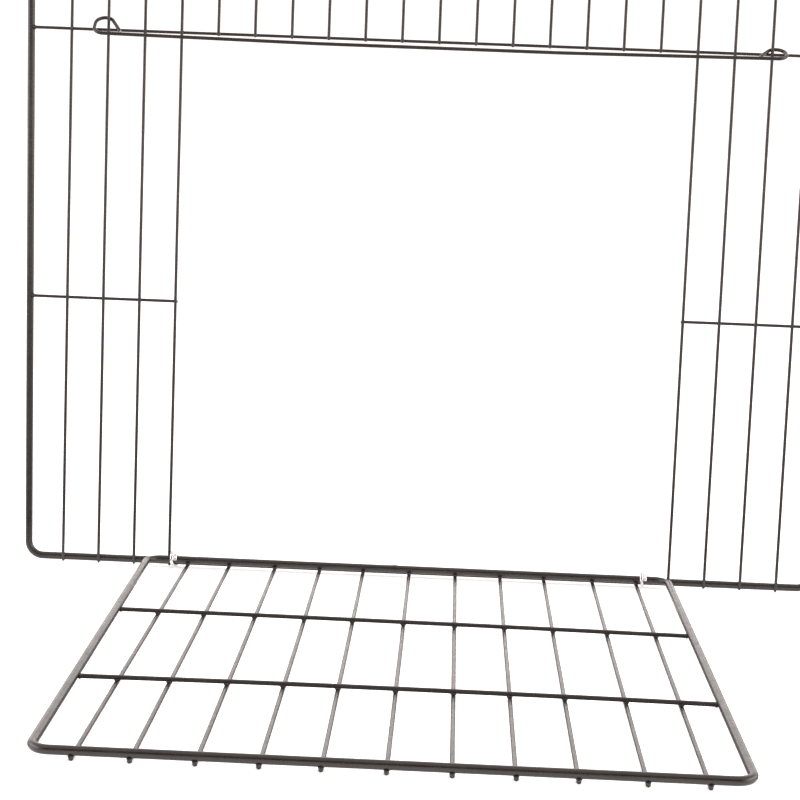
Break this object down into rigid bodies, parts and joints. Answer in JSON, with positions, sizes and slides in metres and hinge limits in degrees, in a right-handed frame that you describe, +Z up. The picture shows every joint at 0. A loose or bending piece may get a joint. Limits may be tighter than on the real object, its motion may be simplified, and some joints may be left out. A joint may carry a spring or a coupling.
{
  "type": "wire dog crate front panel with drop-down door",
  "caption": "Welded wire crate front with a wide doorway, a drop-down door on two wire rings and a lift-up latch bar with looped ends.",
  "frame": {"origin": "middle of the panel's bottom wire, on the wire's axis; the floor is 5.35 mm lower", "axes": "+X to the right seen from the front, along the bottom wire; +Y to the rear, into the crate; +Z up. At rest the door lies open along -Y."},
  "size_m": [0.6788, 0.4636, 0.6715],
  "materials": {
    "coated_frame_wire": "semi-gloss dark powder coat",
    "coated_wire": "semi-gloss dark powder coat",
    "zinc_ring": "bright zinc plate"
  },
  "bodies": {
    "panel": {"panel_frame": "coated_frame_wire", "left_bay_wire_1": "coated_wire", "left_bay_wire_2": "coated_wire", "left_bay_wire_3": "coated_wire", "left_bay_wire_4": "coated_wire", "right_bay_wire_1": "coated_wire", "right_bay_wire_2": "coated_wire", "right_bay_wire_3": "coated_wire", "right_bay_wire_4": "coated_wire", "top_wire_1": "coated_wire", "top_wire_2": "coated_wire", "top_wire_3": "coated_wire", "top_wire_4": "coated_wire", "top_wire_5": "coated_wire", "top_wire_6": "coated_wire", "top_wire_7": "coated_wire", "top_wire_8": "coated_wire", "top_wire_9": "coated_wire", "top_wire_10": "coated_wire", "top_wire_11": "coated_wire", "top_wire_12": "coated_wire", "top_wire_13": "coated_wire", "doorway_rail": "coated_wire", "left_bay_rail": "coated_wire", "right_bay_rail": "coated_wire", "left_hinge_ring": "zinc_ring", "right_hinge_ring": "zinc_ring"},
    "door": {"door_frame": "coated_frame_wire", "door_cross_wire_1": "coated_wire", "door_cross_wire_2": "coated_wire", "door_wire_1": "coated_wire", "door_wire_2": "coated_wire", "door_wire_3": "coated_wire", "door_wire_4": "coated_wire", "door_wire_5": "coated_wire", "door_wire_6": "coated_wire", "door_wire_7": "coated_wire", "door_wire_8": "coated_wire", "door_wire_9": "coated_wire", "door_wire_10": "coated_wire", "door_wire_11": "coated_wire"},
    "latch_bar": {"latch_bar": "coated_wire"}
  },
  "joints": [
    {"name": "door_hinge", "type": "hinge", "parent": "panel", "child": "door", "pos_m": [-0.0093, -0.0092, 0.0037], "axis": [-1, 0, 0], "range_deg": [0, 90.4]},
    {"name": "latch_lift", "type": "slide", "parent": "panel", "child": "latch_bar", "axis": [0, 0, 1], "range_m": [0, 0.2]}
  ]
}
